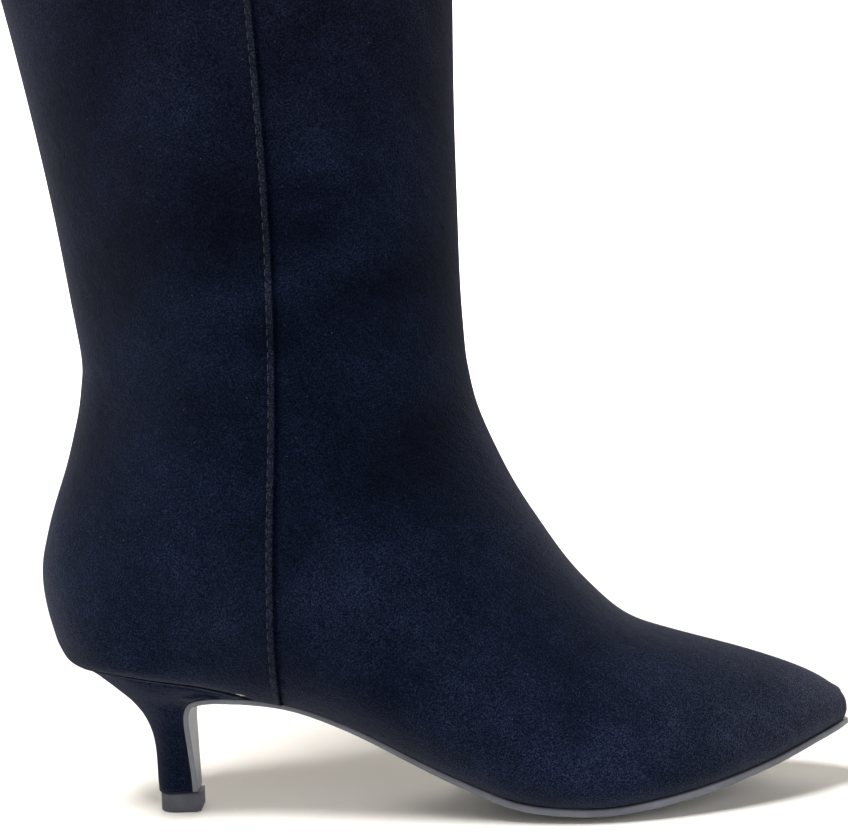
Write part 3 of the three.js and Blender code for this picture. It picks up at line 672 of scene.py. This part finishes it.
# %% Fleck of glue
glue = make_smooth("dried_glue", "#7f7e79", "#9b9992", 2, 0.6, 0.4, 0.05)


def add_bead(bm, place, normal, way, length_mm, width_mm):
    """A small ball on the surface, stretched along a way and pressed flat."""
    run = (way - normal * way.dot(normal)).normalized()
    turn = Matrix((run, normal.cross(run), normal)).transposed().to_4x4()
    size = Matrix.Diagonal((length_mm * MM / 2, width_mm * MM / 2, width_mm * MM / 3, 1))
    bmesh.ops.create_icosphere(bm, subdivisions=2, radius=1, matrix=Matrix.Translation(place) @ turn @ size)


fleck_pixel = (240, 695)
fleck_depth = -25 * MM
fleck_beads = [
    # offset along the boot, length, width
    (-0.7, 1.8, 0.6),
    (0.4, 1.3, 0.9),
    (1.3, 1.1, 0.5),
]
pixels_right = fleck_pixel[0] - picture_width / 2
pixels_down = fleck_pixel[1] - picture_height / 2
fleck_way = forward * focal_pixels + right * pixels_right - top * pixels_down
fleck_guess = camera_place + fleck_way * ((fleck_depth - camera_place.y) / fleck_way.y)
fleck = bmesh.new()
for offset_mm, length_mm, width_mm in fleck_beads:
    place, normal, _, _ = upper_tree.find_nearest(fleck_guess + Vector((offset_mm * MM, 0, 0)))
    add_bead(fleck, place, normal, Vector((1, 0, 0)), length_mm, width_mm)
print("fleck of glue at", [round(value / MM, 1) for value in place])
make_piece(fleck, "glue_fleck", glue)

# %% [markdown]
# ## Lint
# A dark nap holds bits of pale cotton lint, and they are what the eye catches first on it. Each is a small
# stretched ball too, on a face of the outside that chance picks by its area, turned any way on it. A
# particle system would scatter them as well, but it would have to be told not to fill the inside.

# %% Lint
lint_fibre = make_smooth("cotton_lint", "#3c3f4a", "#50535e", 1, 0.9, 0.3, 0.03)
lint_count = 420
lint_shortest_mm = 0.2
lint_longest_mm = 0.5
lint_width_mm = 0.15
chance = random.Random(11)
outside = [
    face for face in upper_piece.data.polygons
    if upper_tree.ray_cast(face.center + face.normal * MM, face.normal)[0] is None
]
lint = bmesh.new()
for face in chance.choices(outside, weights=[face.area for face in outside], k=lint_count):
    way = Vector([chance.uniform(-1, 1) for _ in range(3)])
    length_mm = chance.uniform(lint_shortest_mm, lint_longest_mm)
    add_bead(lint, face.center, face.normal.copy(), way, length_mm, lint_width_mm)
print(f"lint: {lint_count} bits on {len(outside)} outside faces")
make_piece(lint, "lint", lint_fibre)

# %% [markdown]
# ## Heel and sole
# The heel block is covered in the same suede. The sole runs from the toe up the arch and down the front of
# the heel as one thin sheet. Both are smoothed like the upper, with tighter creases where they are cut.

# %% Heel
heel = copy_of_solid("heel")
crease(heel, sharp_edges(heel, 35), 0.6)
make_piece(smoothed(heel, 2), "heel_cover", suede, "heel")

# %% Sole
sole = copy_of_solid("outsole")
crease(sole, sharp_edges(sole, 40), 0.72)
make_piece(smoothed(sole, 2), "sole", sole_rubber, "outsole")

# %% [markdown]
# ## Top piece
# The hard tip under the heel is moulded with a lip at its front, which covers the end of the sole. We draw
# the lip out of the tip's own front face: first forward by its thickness, then up, narrower and thinner at
# the top. A bevel then takes the sharpness off every edge, as a mould does. It needs no subdivision,
# because it is flat.

# %% Top piece
tip = copy_of_solid("top_piece")
bmesh.ops.dissolve_limit(tip, angle_limit=math.radians(2), verts=tip.verts, edges=tip.edges)
lip_thickness = 0.9 * MM
lip_height = 4.6 * MM
lip_narrower = 0.72
lip_taper = 0.3
tip_rounding = 0.12 * MM
tip_front = max(tip.faces, key=lambda face: face.normal.x * face.calc_area())
forward_part = bmesh.ops.extrude_face_region(tip, geom=[tip_front])["geom"]
bmesh.ops.delete(tip, geom=[tip_front], context="FACES_ONLY")
front_verts = [g for g in forward_part if isinstance(g, bmesh.types.BMVert)]
bmesh.ops.translate(tip, verts=front_verts, vec=(lip_thickness, 0, 0))
tip.normal_update()
lip_base = max(tip.faces, key=lambda face: face.calc_center_median().x * (face.normal.z > 0.9))
raised_part = bmesh.ops.extrude_face_region(tip, geom=[lip_base])["geom"]
bmesh.ops.delete(tip, geom=[lip_base], context="FACES_ONLY")
lip_verts = [g for g in raised_part if isinstance(g, bmesh.types.BMVert)]
bmesh.ops.translate(tip, verts=lip_verts, vec=(0, 0, lip_height))
lip_back = min(vert.co.x for vert in lip_verts)
for vert in lip_verts:
    vert.co.y *= lip_narrower
    vert.co.x = lip_back + (vert.co.x - lip_back) * lip_taper
bmesh.ops.recalc_face_normals(tip, faces=tip.faces)
bmesh.ops.bevel(
    tip, geom=sharp_edges(tip, 25), offset=tip_rounding, segments=2, profile=0.5, affect="EDGES",
    material=-1,
)
tip_piece = make_piece(tip, "heel_tip", heel_rubber, "top_piece")
tip_piece.data.set_sharp_from_angle(angle=math.radians(30))

# %% [markdown]
# ## Insole
# Inside, a board carries the foot, with a leather sock glued on it. It is a single smooth sheet to the eye,
# so it gets no more than the smoothing, with a crease round its cut edge.

# %% Insole
sock = copy_of_solid("insole")
crease(sock, sharp_edges(sock, 40), 0.6)
make_piece(smoothed(sock, 2), "sock", sock_leather, "insole")

# %% [markdown]
# ## Floor
# A pale, slightly warm floor runs back and up into a wall in one sweep, so that no horizon shows. It is one
# edge, drawn out along the floor, turned about an axis and drawn out again up the wall.

# %% Floor
floor_bm = bmesh.new()
floor_width = 6.0
floor_front = -2.5
floor_back = 1.6
sweep_radius = 0.8
sweep_steps = 16
wall_top = 3.5
strip = [floor_bm.verts.new((x, floor_front, 0)) for x in (-floor_width / 2, floor_width / 2)]
line = floor_bm.edges.new(strip)
flat = bmesh.ops.extrude_edge_only(floor_bm, edges=[line])["geom"]
line = [g for g in flat if isinstance(g, bmesh.types.BMEdge)]
moved = [g for g in flat if isinstance(g, bmesh.types.BMVert)]
bmesh.ops.translate(floor_bm, verts=moved, vec=(0, floor_back - floor_front, 0))
swept = bmesh.ops.spin(
    floor_bm, geom=line + moved, cent=(0, floor_back, sweep_radius), axis=(1, 0, 0), angle=math.pi / 2,
    steps=sweep_steps,
)["geom_last"]
line = [g for g in swept if isinstance(g, bmesh.types.BMEdge)]
raised = bmesh.ops.extrude_edge_only(floor_bm, edges=line)["geom"]
moved = [g for g in raised if isinstance(g, bmesh.types.BMVert)]
bmesh.ops.translate(floor_bm, verts=moved, vec=(0, 0, wall_top - sweep_radius))
bmesh.ops.recalc_face_normals(floor_bm, faces=floor_bm.faces)
floor_mesh = bpy.data.meshes.new("floor")
floor_bm.to_mesh(floor_mesh)
floor_bm.free()
floor_mesh.shade_smooth()
floor_paint, _, floor_shader = new_material("floor_paint", Roughness=0.75, Specular_IOR_Level=0.2)
floor_shader.inputs["Base Color"].default_value = linear("#f5f1eb")
floor_mesh.materials.append(floor_paint)
floor = bpy.data.objects.new("floor", floor_mesh)
bpy.context.scene.collection.objects.link(floor)

# %% [markdown]
# ## Light
# The shadow under the arch says where the light comes from: from above, on the heel's side and a little in
# front. That is the key light. A broad weak one in front opens the shade, and one behind the boot whitens
# the wall. Its light is kept narrow, so that little of it spills on the floor.

# %% Light
def area_light(name, place, target, size, power, spread=180):
    """A square soft light turned to a target: size in metres, power in watts, spread in degrees."""
    data = bpy.data.lights.new(name, "AREA")
    data.size = size
    data.energy = power
    data.spread = math.radians(spread)
    lamp = bpy.data.objects.new(name, data)
    lamp.location = place
    lamp.rotation_euler = (Vector(target) - Vector(place)).to_track_quat("-Z", "Y").to_euler()
    bpy.context.scene.collection.objects.link(lamp)


area_light("key", (-0.75, -0.7, 2.15), (0, 0, 0.1), 0.75, 70)
area_light("fill", (1.3, -1.7, 0.9), (0, 0, 0.12), 1.6, 15)
area_light("backdrop", (0, 0.6, 2.2), (0, 2.3, 0.9), 1.6, 45, spread=100)

# %% [markdown]
# The room around is brightest at the horizon, like a white tent with a dark ceiling. That lights the
# upright walls of the boot softly from all sides and still leaves a shadow on the floor under the arch.

# %% Room
world = bpy.data.worlds.new("studio")
world.use_nodes = True
room = world.node_tree
way = add_node(room, "TexCoord").outputs["Generated"]
rise = add_node(room, "SeparateXYZ", links={"Vector": way}).outputs["Z"]
glow = ramp(room, rise, [(0.0, "#ffffff"), (0.12, "#fffdf8"), (0.4, "#8e8a85"), (1.0, "#484644")])
room.links.new(glow, room.nodes["Background"].inputs["Color"])
room.nodes["Background"].inputs["Strength"].default_value = 1.0
bpy.context.scene.world = world
bpy.context.scene.view_settings.view_transform = "Standard"
